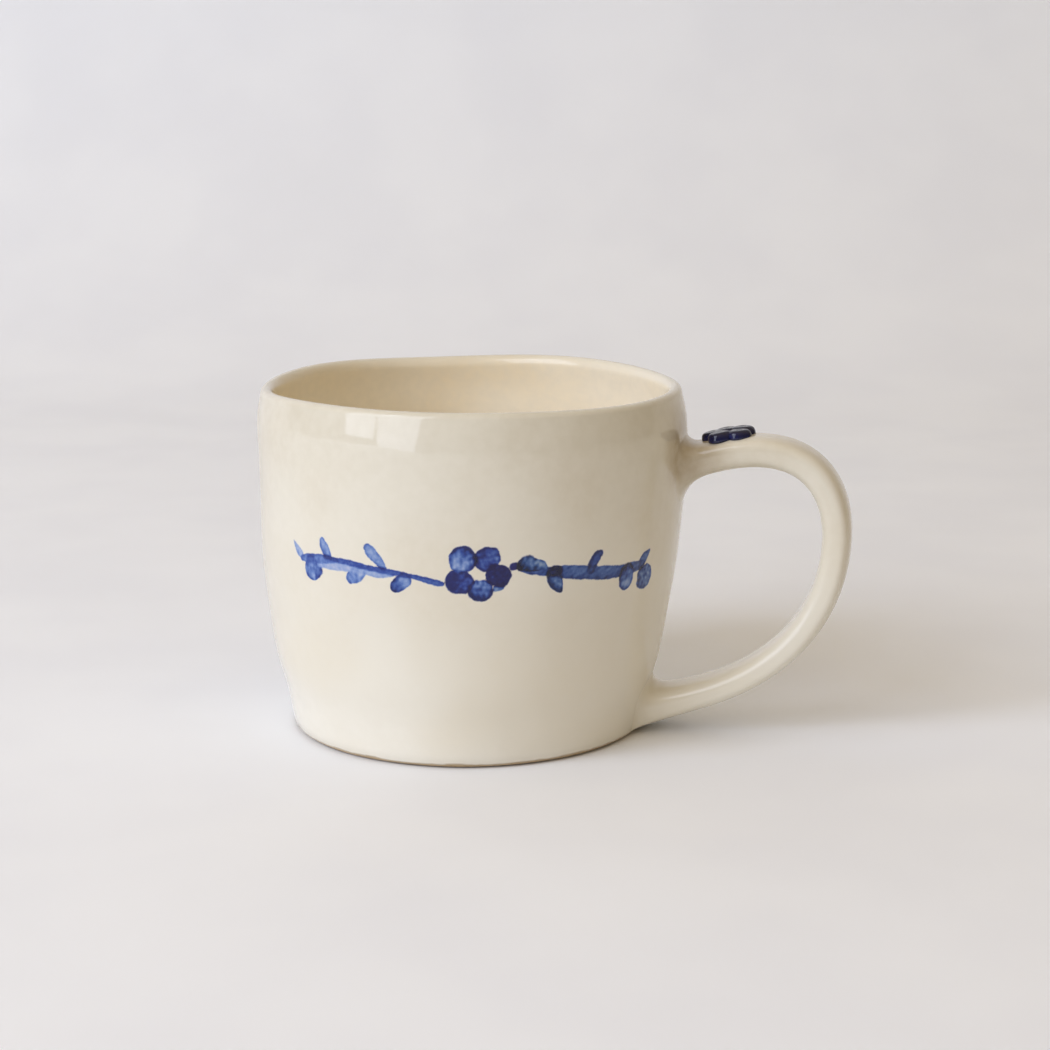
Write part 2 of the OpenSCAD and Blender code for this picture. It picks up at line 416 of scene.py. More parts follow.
# %% Spacing and thickness
PAINT_SPAN = (-44.5, 49.5)       # mm round the bowl that the fine columns cover
PAINT_HEIGHTS = (34.0, 49.6)     # mm up the bowl that the fine rows cover
FINE = 0.25                      # mm between fine columns and rows
LIP_R = 1.5                      # radius of the lip's outer side
ROLL_IN = 2.1                    # height of its softer inner side
FOOT_BEVEL = 0.7
COUNTED = 8000                   # small steps that graded counts along


def graded(start, end, low, high, coarse=2.0, ease=14.0):
    """Places from start to end: FINE apart from low to high, then wider by a smooth step.

    Counting 1 / spacing along the way says how many places come before each one, and equal
    steps of that count are the places. A sudden change of spacing would show as a crease.
    """
    x = np.linspace(start, end, COUNTED)
    beyond = np.maximum(low - x, 0) + np.maximum(x - high, 0)
    spacing = FINE + (coarse - FINE) * smooth_step(0, ease, beyond)
    count = np.concatenate([[0], np.cumsum(np.diff(x) / spacing[1:])])
    return np.interp(np.linspace(0, count[-1], int(count[-1]) + 1), count, x)


half_round = np.pi * ROUND_R
across_front = graded(-half_round, half_round, *PAINT_SPAN)[:-1]
around = FRONT + across_front[None, :] / ROUND_R
heights = graded(FOOT_BEVEL, HEIGHT - LIP_R - 0.3, *PAINT_HEIGHTS)
print(f"{len(heights)} rows of {around.size} points on the outside")

# %% Outside, lip and inside
THICKNESS = [(0, 3.3), (8, 3.5), (20, 3.6), (40, 3.5), (66, 3.4), (74, 3.3)]  # height, wall


def inside_radius(angle, z):
    """The inner face: a wall's thickness inside, a little thinner where it wraps the disc."""
    return bowl_radius(angle, z) - spline(THICKNESS, z)


outer = bowl_point(around, heights[:, None], bowl_radius(around, heights[:, None]))

lip_z = HEIGHT - LIP_R
lip_turn = np.radians(np.linspace(8, 90, 8))[:, None]
lip_middle = bowl_radius(around, lip_z) - LIP_R
lip = bowl_point(around, lip_z + LIP_R * np.sin(lip_turn), lip_middle + LIP_R * np.cos(lip_turn))

roll_turn = np.radians(np.linspace(90, 4, 14)[1:])[:, None]
roll_low = HEIGHT - ROLL_IN
roll_heights = roll_low + ROLL_IN * np.sin(roll_turn)
roll_end = inside_radius(around, roll_low)
roll = bowl_point(around, roll_heights, roll_end + (lip_middle - roll_end) * (1 - np.cos(roll_turn)))

INNER_ROWS = 36
inner_heights = np.linspace(roll_low - 0.6, DISC_T, INNER_ROWS)[:, None]
inner = bowl_point(around, inner_heights, inside_radius(around, inner_heights))
print(f"rows: {len(outer)} outside, {len(lip) + len(roll)} over the lip, {len(inner)} inside")

# %% The foot closes the sheet
centre = spline(LEAN, 0.0) * LEAN_WAY
ring = np.stack([np.cos(around), np.sin(around)], axis=-1)


def foot_ring(radius, z):
    """A flat ring at the foot, round the leaning axis; radius is one number or one per column."""
    flat = ring * np.broadcast_to(radius, around.shape)[..., None] + centre
    return np.concatenate([flat, np.full(around.shape + (1,), z)], axis=-1)


BEHIND_DISC = 0.5                # mm below the floor where the sheet turns down beside the disc
under = np.concatenate([
    foot_ring(DISC_R, DISC_T - BEHIND_DISC),
    foot_ring(DISC_R, 0.0),
    foot_ring(bowl_radius(around, 0.0) - FOOT_BEVEL, 0.0),
    foot_ring(bowl_radius(around, 0.3) - FOOT_BEVEL / 2, 0.25),
])
wall_grid = np.concatenate([outer, lip, roll, inner, under])
wall = make_piece("rolled_wall", wall_grid, loop_rows=True)

# %% Values kept on the mesh
def add_attribute(piece, name, values):
    """One number per point of the mesh, for a material to read. Cap points get zero."""
    whole = np.zeros(len(piece.data.vertices), np.float32)
    whole[:values.size] = values.ravel()
    piece.data.attributes.new(name, "FLOAT", "POINT").data.foreach_set("value", whole)


print(f"the wall has room for {len(wall.data.vertices)} values of each kind")

# %% Paint the wall
paint = paint_vine(*np.broadcast_arrays(across_front[None, :], heights[:, None]))
blank = {"edge": BARE, "cobalt": 0.0, "tinge": 0.0}
for part, nothing in blank.items():
    values = np.full(wall_grid.shape[:2], nothing)
    values[:len(heights)] = paint[part]
    add_attribute(wall, "paint_" + part, values)
turned_in = np.zeros(wall_grid.shape[:2])
turned_in[len(heights) + len(lip):-len(under)] = 1
turned_in[len(heights) + len(lip):][:len(roll)] = np.linspace(0, 1, len(roll))[:, None]
add_attribute(wall, "inside", turned_in)
print(f"painted {np.mean(paint['edge'] > 0) * 100:.1f}% of the outer grid's points")

# %% [markdown]
# ## Floor and corner
#
# The disc closes the bottom. Its upper side is glazed with the rest of the inside, and its lower
# side is the bare foot. A coil of clay pressed into the corner and smoothed with a thumb leaves
# a hollow quarter round, so that a spoon meets no edge. A cylinder with a bevelled corner could
# stand for both, but they are two pieces of clay, so each is its own profile carried round.

# %% A profile carried round
turns = np.linspace(0, 2 * np.pi, 180, endpoint=False)[None, :]


def turned(profile):
    """A profile of (radius, height) points carried round the axis at the foot."""
    r, z = np.array(profile, float).T[:, :, None]
    x = r * np.cos(turns) + centre[0]
    y = r * np.sin(turns) + centre[1]
    return np.stack(np.broadcast_arrays(x, y, z), axis=-1)


print(f"the foot's axis is shifted by {np.hypot(*centre):.1f} mm, away from the handle")

# %% The disc
FLOOR_DIP = 0.25                 # mm that the middle of the floor lies below its edge
steps = np.linspace(2, DISC_R, 16)
floor_dip = FLOOR_DIP * (1 - (steps / DISC_R) ** 2)
disc_profile = (
    [(r, 0.0) for r in steps] + [(DISC_R, DISC_T)]
    + [(r, DISC_T - dip) for r, dip in zip(steps[::-1], floor_dip[::-1])][1:]
)
base_disc = make_piece(
    "floor_disc", turned(disc_profile),
    caps=((*centre, 0.0), (*centre, DISC_T - FLOOR_DIP)),
)

# %% The smoothed coil
COVE_R = 5.0                     # radius of the smoothed corner
CORNER_R = 36.0                  # where the smoothed corner meets the wall
COIL_R = 37.0                    # the coil's back, pressed a little way into the wall
COIL_LOW = 0.4                   # and its underside, pressed into the disc

cove_turn = np.radians(np.linspace(-90, -4, 12))
cove_x = CORNER_R - COVE_R
cove = [(cove_x + COVE_R * np.cos(a), DISC_T + COVE_R * (1 + np.sin(a))) for a in cove_turn]
coil_back = [(COIL_R, DISC_T + COVE_R), (COIL_R, DISC_T - COIL_LOW), (cove_x, DISC_T - COIL_LOW)]
cove_profile = cove + coil_back
seam_coil = make_piece("smoothed_floor_coil", turned(cove_profile)[::-1], loop_rows=True)

# %% [markdown]
# ## The handle
#
# A strap is pulled from a lump of clay, bent while soft and pressed onto the wall at both ends.
# Its middle line is two cubic curves that meet where it reaches furthest out, and its section is
# a rounded rectangle, a superellipse, carried along that line. At each end the potter smooths a
# coil of clay round the joint. There every line of the strap runs on as a curve that leaves the
# strap along its length and lands on the wall flat against it, so the glaze shows no edge.
#
# A Curve object with a bevel profile would give the strap, but not the joints. One grid that is
# cut into three pieces gives them all, and they share its normals, so no seam shows.

# %% The strap's middle line
STRAP_T = 5.8                    # thickness of the strap there, in the CAD model
REACH = far_corner("handle_strap")[0] - STRAP_T / 2
REACH_Z = 44.2                   # height at which it reaches furthest out
UPPER = np.array([(40, 56.0), (72.8, 71.2), (REACH, REACH_Z + 10.4), (REACH, REACH_Z)])
LOWER = np.array([(REACH, REACH_Z), (REACH - 0.2, REACH_Z - 23.5), (58.3, 7.5), (40, 6.2)])
SIDES = 96                       # points round the strap
STATIONS = 240                   # rings along it
# Share of the length, then half the width or half the thickness
HALF_W = [(0, 6.4), (0.12, 6.1), (0.4, 5.8), (0.6, 5.7), (0.85, 6.0), (1, 6.3)]
HALF_T = [(0, 3.9), (0.12, 3.5), (0.28, 3.3), (0.45, 3.15), (0.6, 3.1), (0.75, 3.05), (0.88, 3.1),
          (1, 3.6)]
SQUARE = 3.1                     # exponent of the section: 2 is an ellipse


def bezier(a, b, c, d, t):
    """A cubic curve from a to d, pulled towards b and c, at every t of a column."""
    t = np.asarray(t, float)[:, None]
    return (1 - t) ** 3 * a + 3 * (1 - t) ** 2 * t * b + 3 * (1 - t) * t * t * c + t ** 3 * d


share = np.linspace(0, 1, 60)
line = np.vstack([bezier(*UPPER, share), bezier(*LOWER, share[1:])])
length = np.concatenate([[0], np.cumsum(np.hypot(*np.diff(line, axis=0).T))])
print(f"the strap's middle line is {length[-1]:.0f} mm long and reaches {line[:, 0].max():.1f} mm out")

# %% Place and direction along it
STRIDE = 0.004                   # share of the length between a place and its neighbours


def unit(v):
    """Each vector divided by its own length."""
    return v / np.maximum(np.linalg.norm(v, axis=-1, keepdims=True), CLEAR)


def strap_line(s):
    """Place and direction on the middle line at a share s of its whole length."""
    at = s * length[-1]
    place = np.stack([np.interp(at, length, line[:, k]) for k in (0, 1)], axis=-1)
    step = STRIDE * length[-1]
    ahead = np.stack([np.interp(at + step, length, line[:, k]) for k in (0, 1)], axis=-1)
    behind = np.stack([np.interp(at - step, length, line[:, k]) for k in (0, 1)], axis=-1)
    return place, unit(ahead - behind)


print("half way along, the strap runs", strap_line(np.array([0.5]))[1][0].round(2), "in x and z")

# %% Rings round the middle line
def strap_ring(s):
    """Rings of the superellipse |u/w|^n + |v/t|^n = 1 across the middle line at each share s."""
    place, way = strap_line(s)
    a = 2 * np.pi * (np.arange(SIDES) + 0.5) / SIDES
    power = 2 / SQUARE
    u = np.sign(np.cos(a)) * np.abs(np.cos(a)) ** power * spline(HALF_W, s)[:, None]
    v = np.sign(np.sin(a)) * np.abs(np.sin(a)) ** power * spline(HALF_T, s)[:, None]
    x = place[:, :1] - v * way[:, 1:]
    z = place[:, 1:] + v * way[:, :1]
    return np.stack([x, u, z], axis=-1), way


ring_half_way = strap_ring(np.array([0.5]))[0]
print(f"half way along, the strap is {np.ptp(ring_half_way[..., 1]):.1f} mm wide")

# %% Where lines meet the wall
FURTHEST = 25.0                  # mm within which every line meets the wall
HALVINGS = 40


def gap_to_wall(p):
    """How far points stand outside the bowl's skin."""
    shift = spline(LEAN, p[..., 2])[..., None] * LEAN_WAY
    flat = p[..., :2] - shift
    angle = np.arctan2(flat[..., 1], flat[..., 0])
    return np.hypot(flat[..., 0], flat[..., 1]) - bowl_radius(angle, p[..., 2])


def meet_wall(start, way):
    """Where lines from start along way meet the skin, by halving the stretch that holds it."""
    near, far = np.zeros(len(start)), np.full(len(start), FURTHEST)
    for _ in range(HALVINGS):
        middle = (near + far) / 2
        outside = gap_to_wall(start + middle[:, None] * way) > 0
        near = np.where(outside, middle, near)
        far = np.where(outside, far, middle)
    return start + near[:, None] * way


furthest = gap_to_wall(np.array([REACH, 0.0, REACH_Z]))
print(f"the strap's middle line is {furthest:.1f} mm from the wall where it is furthest out")

# %% Each end of the strap spreads onto the wall
FILLET = 3.2                     # mm that the smoothed coil spreads over the wall
SWELL_UP, SWELL_DOWN = 0.7, 1.2  # how much wider it is in the finger gap, lower and upper joint
LOWEST = 0.5                     # mm above the table that it keeps clear of
SINK = 0.12                      # mm that its edge lies inside the wall's skin
COIL_ROWS = 22


def spread(ring_points, way, hollow):
    """Rows from a ring of the strap to the wall.

    Every line is a quadratic curve. Its middle control point is where the strap's line would
    meet the wall, and its end lies one fillet further out on the wall, away from the joint.
    The fillet is widest on the side of the finger gap: hollow is 1 if that is up, else -1.
    """
    corner = meet_wall(ring_points, way)
    out = unit(corner - corner.mean(axis=0))
    along = unit(np.roll(corner, -1, axis=0) - np.roll(corner, 1, axis=0))
    normal = unit(np.stack([corner[:, 0], corner[:, 1], np.zeros(SIDES)], axis=-1))
    side = unit(np.cross(along, normal))
    side = side * np.sign((side * out).sum(axis=1))[:, None]
    swell = SWELL_UP if hollow > 0 else SWELL_DOWN
    wide = FILLET * (1 + swell * np.clip(out[:, 2:] * hollow, 0, 1))
    land = corner + wide * side
    land[:, 2] = np.maximum(land[:, 2], LOWEST)
    flat = land[:, :2] - spline(LEAN, land[:, 2])[:, None] * LEAN_WAY
    angle = np.arctan2(flat[:, 1], flat[:, 0])
    land = bowl_point(angle, land[:, 2], bowl_radius(angle, land[:, 2]) - SINK)
    t = np.linspace(0, 1, COIL_ROWS)[:, None, None]
    return (1 - t) ** 2 * ring_points + 2 * t * (1 - t) * corner + t * t * land


print(f"the upper coil spreads {FILLET * (1 + SWELL_DOWN):.1f} mm down the wall, into the finger gap")

# %% One sheet, cut into strap and coils
UPPER_CUT, LOWER_CUT = 0.115, 0.885  # shares of the length at which the coils begin
stations = np.linspace(UPPER_CUT, LOWER_CUT, STATIONS)
strap_grid, strap_ways = strap_ring(stations)
towards_top = np.array([-strap_ways[0, 0], 0, -strap_ways[0, 1]])
towards_foot = np.array([strap_ways[-1, 0], 0, strap_ways[-1, 1]])
top_rows = spread(strap_grid[0], towards_top, -1)[::-1]
foot_rows = spread(strap_grid[-1], towards_foot, 1)

sheet = np.concatenate([top_rows, strap_grid[1:-1], foot_rows])
down = np.gradient(sheet, axis=0)
across = np.roll(sheet, -1, axis=1) - np.roll(sheet, 1, axis=1)
sheet_normals = unit(np.cross(across, down))
upper_end = COIL_ROWS - 1
lower_start = COIL_ROWS + STATIONS - 2


def strap_piece(name, first, last):
    """The rows of the sheet from first to last as one closed piece, with the sheet's normals."""
    rows = sheet[first:last + 1]
    ends = (rows[0].mean(axis=0), rows[-1].mean(axis=0))
    return make_piece(name, rows, caps=ends, normals=sheet_normals[first:last + 1])


upper_coil = strap_piece("smoothed_upper_joint", 0, upper_end)
strap = strap_piece("pulled_strap", upper_end, lower_start)
lower_coil = strap_piece("smoothed_lower_joint", lower_start, len(sheet) - 1)

# %% [markdown]
# ## The raised flower
#
# Five pea-sized dabs of clay are pressed onto the top of the strap with a fingertip, with a
# smaller button in the middle. Each dab is a low dome with a shallow dent where the finger was.
# Squashed spheres would do from far away, but real dabs bend with the strap under them. So the
# points are worked out in two steps: first flat, as distances along and across, then wrapped onto
# the strap's own surface.

# %% From flat onto the strap
FLOWER_S = 0.155                 # share of the strap's length where the flower's middle sits
FOLLOWS = 0.44                   # how far the clay follows the strap's rounded side down
STEEPEST = 0.97                  # share of the half width past which it goes no further down


def on_strap(along, across, height):
    """A point height mm above the strap's top face, along and across from the flower's middle."""
    s = FLOWER_S + along / length[-1]
    place, way = strap_line(s.ravel())
    place, way = place.reshape(s.shape + (2,)), way.reshape(s.shape + (2,))
    bent = np.abs(across) * FOLLOWS / spline(HALF_W, s)
    face = spline(HALF_T, s) * (1 - np.minimum(bent, STEEPEST) ** SQUARE) ** (1 / SQUARE)
    x = place[..., 0] - way[..., 1] * (face + height)
    z = place[..., 1] + way[..., 0] * (face + height)
    return np.stack([x, across, z], axis=-1)


middle = on_strap(np.zeros(1), np.zeros(1), 0.0)[0]
print(f"the flower's middle is {middle[0]:.1f} mm out and {middle[2]:.1f} mm up")

# %% A dab of clay
PETAL_SIDES = 48
PETAL_STEPS = 22
OVER_TOP = 1.35                  # the top uses the first 1 / OVER_TOP of the steps
TUCK = 0.25                      # share of the radius by which the underside is drawn in
TIP_R = 0.04                     # the innermost ring, as a share of the radius
DENT = 0.18                      # mm that the finger pressed in
BURIED = 0.6                     # mm that the underside lies inside the strap


def clay_dab(name, ring_r, turn, radius, height, seed):
    """A closed dab: its outline is a circle with two slow waves, its height a flattened dome.

    The first parameter runs from the middle of the top over the rim to the middle underneath,
    the second one goes round. The dome is height * (1 - r^5)^0.5, less a finger's dent that
    fades as exp(-4 r^2).
    """
    rng = np.random.default_rng(seed)
    wave = rng.uniform(0.02, 0.06, 2)
    phase = rng.uniform(0, 2 * np.pi, 2)
    a = np.linspace(0, 2 * np.pi, PETAL_SIDES, endpoint=False)[None, :]
    v = np.linspace(0, 1, PETAL_STEPS)[:, None]
    r = np.sin(np.pi / 2 * np.minimum(v * OVER_TOP, 1)) * (1 - TUCK * smooth_step(0.78, 1, v))
    r = np.maximum(r, TIP_R)
    dome = height * np.sqrt(np.clip(1 - r ** 5, 0, 1)) - DENT * np.exp(-4 * r * r)
    under = -BURIED * smooth_step(0.74, 0.95, v)
    h = np.where(v * OVER_TOP < 1, dome, under)
    outline = radius * (1 + wave[0] * np.cos(2 * a + phase[0]) + wave[1] * np.cos(3 * a + phase[1]))
    t = np.radians(turn)
    px = ring_r + r * outline * np.cos(a)
    py = r * outline * np.sin(a)
    along = px * np.cos(t) - py * np.sin(t)
    across = px * np.sin(t) + py * np.cos(t)
    grid = on_strap(along, across, np.broadcast_to(h, along.shape))[:, ::-1]
    piece = make_piece(name, grid, caps=(grid[0].mean(axis=0), grid[-1].mean(axis=0)))
    add_attribute(piece, "rim", np.broadcast_to(r, along.shape))
    return piece


print(f"each dab has {PETAL_STEPS} rings of {PETAL_SIDES} points")

# %% Five petals and an eye
PETALS = 5
PETAL_TURN = 27                  # degrees from the line of the strap to the first petal
PETAL_RING = 3.0                 # mm from the middle of the flower to the middle of a petal
PETAL_R = 2.45
PETAL_H = 1.65
UNEVEN_H = 0.06                  # share by which the petals' heights differ
EYE_R = 1.45

petals = [
    clay_dab(f"petal_dab_{k + 1}", PETAL_RING, PETAL_TURN + k * 360 / PETALS, PETAL_R,
             PETAL_H * (1 + UNEVEN_H * np.cos(2.4 * k)), 20 + k)
    for k in range(PETALS)
]
eye = clay_dab("eye_dab", 0.0, 0, EYE_R, PETAL_H + 0.15, 31)

# %% [markdown]
# ## Glazes and clay
#
# Colours are written as hex, as a screen shows them, and turned to linear light once. Patterns
# are sized in millimetres. One helper adds a node, sets its values and links its inputs, so a
# material reads as a list of steps. The node editor shows the same tree with its wires.

# %% Colours
def linear(code):
    """Linear red, green, blue from sRGB hex: c / 12.92 near black, else ((c + 0.055) / 1.055)^2.4."""
    c = np.array([int(code[i:i + 2], 16) for i in (1, 3, 5)]) / 255
    light = np.where(c <= 0.04045, c / 12.92, ((c + 0.055) / 1.055) ** 2.4)
    return (*light.tolist(), 1.0)


print("half grey on the screen is", round(linear("#808080")[0], 3), "in linear light")

# %% Nodes
def add(tree, kind, inputs=None, stops=None, **settings):
    """A node with its settings. An input that is a socket is linked, and any other is set.

    A colour is given as hex. stops are the (place, hex) pairs of a colour ramp.
    """
    made = tree.nodes.new("ShaderNode" + kind)
    for name, value in settings.items():
        setattr(made, name, value)
    for name, value in (inputs or {}).items():
        if isinstance(value, bpy.types.NodeSocket):
            tree.links.new(value, made.inputs[name])
        else:
            made.inputs[name].default_value = linear(value) if isinstance(value, str) else value
    for k, (place, code) in enumerate(stops or []):
        ramp = made.color_ramp.elements
        stop = ramp[k] if k < len(ramp) else ramp.new(place)
        stop.position, stop.color = place, linear(code)
    return made


def new_material(name):
    """An empty node material with its shader, its tree and the object's coordinates."""
    material = bpy.data.materials.new(name)
    material.use_nodes = True
    tree = material.node_tree
    tree.nodes.clear()
    shader = add(tree, "BsdfPrincipled")
    add(tree, "OutputMaterial", {"Surface": shader.outputs["BSDF"]})
    place = add(tree, "TexCoord").outputs["Object"]
    return material, tree, shader, place


print("the surface shader is", bpy.types.ShaderNodeBsdfPrincipled.bl_rna.name)

# %% Soft patches
MM = 1000.0                      # a noise of scale MM has features about a millimetre wide
FACTOR, UNDER, OVER, MIXED = 0, 6, 7, 2  # a Mix node's sockets for colours, by their numbers


def patches(tree, place, size, low, high, detail=2.0):
    """Soft noise with features of size mm, stretched so that low..high becomes 0..1."""
    noise = add(tree, "TexNoise", {"Vector": place, "Scale": MM / size, "Detail": detail})
    return add(tree, "MapRange", {
        "Value": noise.outputs[0], "From Min": low, "From Max": high,
    }, interpolation_type="SMOOTHSTEP").outputs["Result"]


print(f"a pattern of 26 mm has a noise scale of {MM / 26:.1f}")

# %% [markdown]
# ### Clear gloss over cream stoneware
#
# The clay is a light buff stoneware, fired in a kiln with plenty of air, under a clear gloss
# glaze. Seen from close by it is not one colour: it has small milky clouds and a few specks of
# iron, and shade and light are painted into it, darker under the lip and round the upper joint,
# lighter near the foot and inside. Its surface is glass, so it reflects sharply, but it lies in
# slow ripples like the skin of a pond.
# The foot is wiped clean before firing, and the glaze ends there in a thin toasted line.

# %% The clay
def clay_colour(tree, place):
    """Buff clay: two close browns in patches, with fine dark grog."""
    broad = patches(tree, place, 9, 0.3, 0.7)
    grog = patches(tree, place, 0.6, 0.62, 0.72)
    base = add(tree, "Mix", {FACTOR: broad, UNDER: "#c9b392", OVER: "#bba27d"},
               data_type="RGBA").outputs[MIXED]
    return add(tree, "Mix", {FACTOR: grog, UNDER: base, OVER: "#8d7453"},
               data_type="RGBA").outputs[MIXED]


print("the lighter brown of the clay is", [round(c, 2) for c in linear("#c9b392")[:3]])

# %% The body of the glaze
GLAZE_IOR = 1.52
SHADED_ABOVE, LIT_BELOW = 0.072, 0.008  # metres up: painted shade above the first, painted light below the second


def glaze_body(tree, place, inside):
    """Each of three creams is two close colours in slow patches; height and inside mix them.

    The creams are painted shade and light: darker and warmer under the lip, lighter near the foot.
    inside is 0 on the outside and 1 on the inside, whose creams are painted lighter and warmer as painted
    light.
    """
    slow = patches(tree, place, 26, 0.35, 0.65, 1.0)
    # painted shade and light: thin is the darker cream under the lip, milky the lighter one near the foot
    thin, milky, lit_inside = [
        add(tree, "Mix", {FACTOR: slow, UNDER: a, OVER: b}, data_type="RGBA").outputs[MIXED]
        for a, b in (("#dad3c0", "#d5ccb7"), ("#ece7d9", "#e8e1cf"), ("#f8efda", "#f5e8cc"))
    ]
    height = add(tree, "SeparateXYZ", {0: place}).outputs["Z"]
    height_light = add(tree, "MapRange", {"Value": height, "From Min": SHADED_ABOVE,
                                 "From Max": LIT_BELOW}).outputs["Result"]
    outside = add(tree, "Mix", {FACTOR: height_light, UNDER: thin, OVER: milky},
                  data_type="RGBA").outputs[MIXED]
    # painted light: the inside's creams are lighter and warmer than the outside's
    return add(tree, "Mix", {FACTOR: inside, UNDER: outside, OVER: lit_inside},
               data_type="RGBA").outputs[MIXED]


# the height over which the painted shade under the lip turns to painted light near the foot
print(f"the glaze turns milky over {(SHADED_ABOVE - LIT_BELOW) * 1000:.0f} mm of height")

# %% Painted shade at the upper joint, clouds and specks
UPPER_JOINT = (0.0465, -0.006, 0.0625)  # metres: the middle of a shade painted round the handle's upper joint
JOINT_SHADE_EDGE, JOINT_SHADE_FULL = 0.0115, 0.004  # metres from there to the painted shade's edge and to its full strength
SPECK_EVERY = 7.5                # mm between the places that may hold a speck
SPECK_RARE = 0.62                # a place holds one if its random number is above this


def glaze_colour(tree, place, inside):
    """The body, with shade painted round the upper joint, small milky clouds and specks of iron.

    A speck is what lies within a share 0.02 to 0.035 of SPECK_EVERY from a place's middle.
    """
    base = glaze_body(tree, place, inside)
    # painted shade: the glaze darkens towards a warm brown round the handle's upper joint, where the
    # crease lies in shade
    far = add(tree, "VectorMath", {0: place, 1: UPPER_JOINT}, operation="DISTANCE").outputs["Value"]
    joint_shade = add(tree, "MapRange", {"Value": far, "From Min": JOINT_SHADE_EDGE, "From Max": JOINT_SHADE_FULL,
                                   "To Max": 0.6}, interpolation_type="SMOOTHSTEP").outputs["Result"]
    base = add(tree, "Mix", {FACTOR: joint_shade, UNDER: base, OVER: "#a38d68"},
               data_type="RGBA").outputs[MIXED]
    cloud = add(tree, "Math", {0: patches(tree, place, 2.2, 0.2, 0.8), 1: 0.3},
                operation="MULTIPLY").outputs[0]
    base = add(tree, "Mix", {FACTOR: cloud, UNDER: base, OVER: "#e6e0d0"},
               data_type="RGBA").outputs[MIXED]
    cells = add(tree, "TexVoronoi", {"Vector": place, "Scale": MM / SPECK_EVERY})
    near = add(tree, "MapRange", {"Value": cells.outputs["Distance"], "From Min": 0.035,
                                  "From Max": 0.02}).outputs["Result"]
    chosen = add(tree, "Math", {0: cells.outputs["Color"], 1: SPECK_RARE},
                 operation="GREATER_THAN").outputs[0]
    speck = add(tree, "Math", {0: near, 1: chosen}, operation="MULTIPLY").outputs[0]
    return add(tree, "Mix", {FACTOR: speck, UNDER: base, OVER: "#8f7a5e"},
               data_type="RGBA").outputs[MIXED]


print(f"a speck of iron is about {2 * 0.0275 * SPECK_EVERY:.1f} mm wide")

# %% [markdown]
# ### Cobalt brushed on under the glaze
#
# Cobalt oxide in water is laid on the raw glaze and melts into it. Thin washes fire to a milky
# lavender blue, a fuller brush to royal blue, and where it is heavy it goes to violet black. The
# amount of cobalt is on the mesh already. Here it only becomes a colour, by way of a ramp, with
# some grain from the brush, and its outline gets the small tooth that a wet edge has.

# %% Blues from thin to heavy
COBALT = [
    (0.0, "#a9b2cc"), (0.16, "#8da0c8"), (0.32, "#6581bb"), (0.47, "#4260a4"), (0.62, "#24408f"),
    (0.80, "#0b1b60"), (1.0, "#040538"),
]
COBALT_GREEN = [
    (0.0, "#a3b0bd"), (0.2, "#7a90ad"), (0.4, "#48689c"), (0.6, "#1f4078"), (0.8, "#07214c"),
    (1.0, "#020a24"),
]
VIOLET = "#1c0c62"
print(f"{len(COBALT)} blues from a thin wash to violet black")

# %% Cobalt on the wall
def cobalt_over(tree, place, colour):
    """Lays the painted vine over a colour.

    The edge distance and the amount of cobalt each get a noise, times a gain, added to them.
    """
    edge, amount, tinge = [
        add(tree, "Attribute", attribute_name="paint_" + part).outputs["Fac"]
        for part in ("edge", "cobalt", "tinge")
    ]
    tooth = add(tree, "TexNoise", {"Vector": place, "Scale": MM / 0.5, "Detail": 2.0}).outputs[0]
    blotch = add(tree, "TexNoise", {"Vector": place, "Scale": MM / 0.7, "Detail": 3.0}).outputs[0]
    edge = add(tree, "Math", {0: tooth, 1: 0.3, 2: edge}, operation="MULTIPLY_ADD").outputs[0]
    cover = add(tree, "MapRange", {"Value": edge, "From Min": 0.0, "From Max": 0.32},
                interpolation_type="SMOOTHSTEP").outputs["Result"]
    amount = add(tree, "Math", {0: blotch, 1: 0.36, 2: amount}, operation="MULTIPLY_ADD").outputs[0]
    amount = add(tree, "Math", {0: amount, 1: 0.18}, operation="SUBTRACT").outputs[0]
    blue = add(tree, "ValToRGB", {"Fac": amount}, stops=COBALT).outputs["Color"]
    teal = add(tree, "ValToRGB", {"Fac": amount}, stops=COBALT_GREEN).outputs["Color"]
    greener = add(tree, "Mix", {FACTOR: tinge, UNDER: blue, OVER: teal},
                  data_type="RGBA").outputs[MIXED]
    redder = add(tree, "MapRange", {"Value": tinge, "From Min": 0.0, "From Max": -1.0,
                                    "To Max": 0.5}).outputs["Result"]
    fired = add(tree, "Mix", {FACTOR: redder, UNDER: greener, OVER: VIOLET},
                data_type="RGBA").outputs[MIXED]
    return add(tree, "Mix", {FACTOR: cover, UNDER: colour, OVER: fired},
               data_type="RGBA").outputs[MIXED]


print("the vine is read from", [kept for kept in wall.data.attributes.keys() if "paint" in kept])

# %% [markdown]
# ### The glaze's surface
#
# The glaze is glass, so it is smooth, but it cooled over clay that was rolled and touched by hand.
# Slow ripples about a centimetre long bend its reflections, and a fine grain takes off their last
# sharpness. A bump does both, because they are far too low to show in an outline. A height in the
# object's own coordinates says where the glaze was wiped away.

# %% Where the glaze stops
FOOT_LINE = 0.0004               # metres above the table
WIPED = 0.0003                   # metres by which the sponge left that line uneven
TOASTED = 0.0004                 # metres of thin, toasted glaze above it


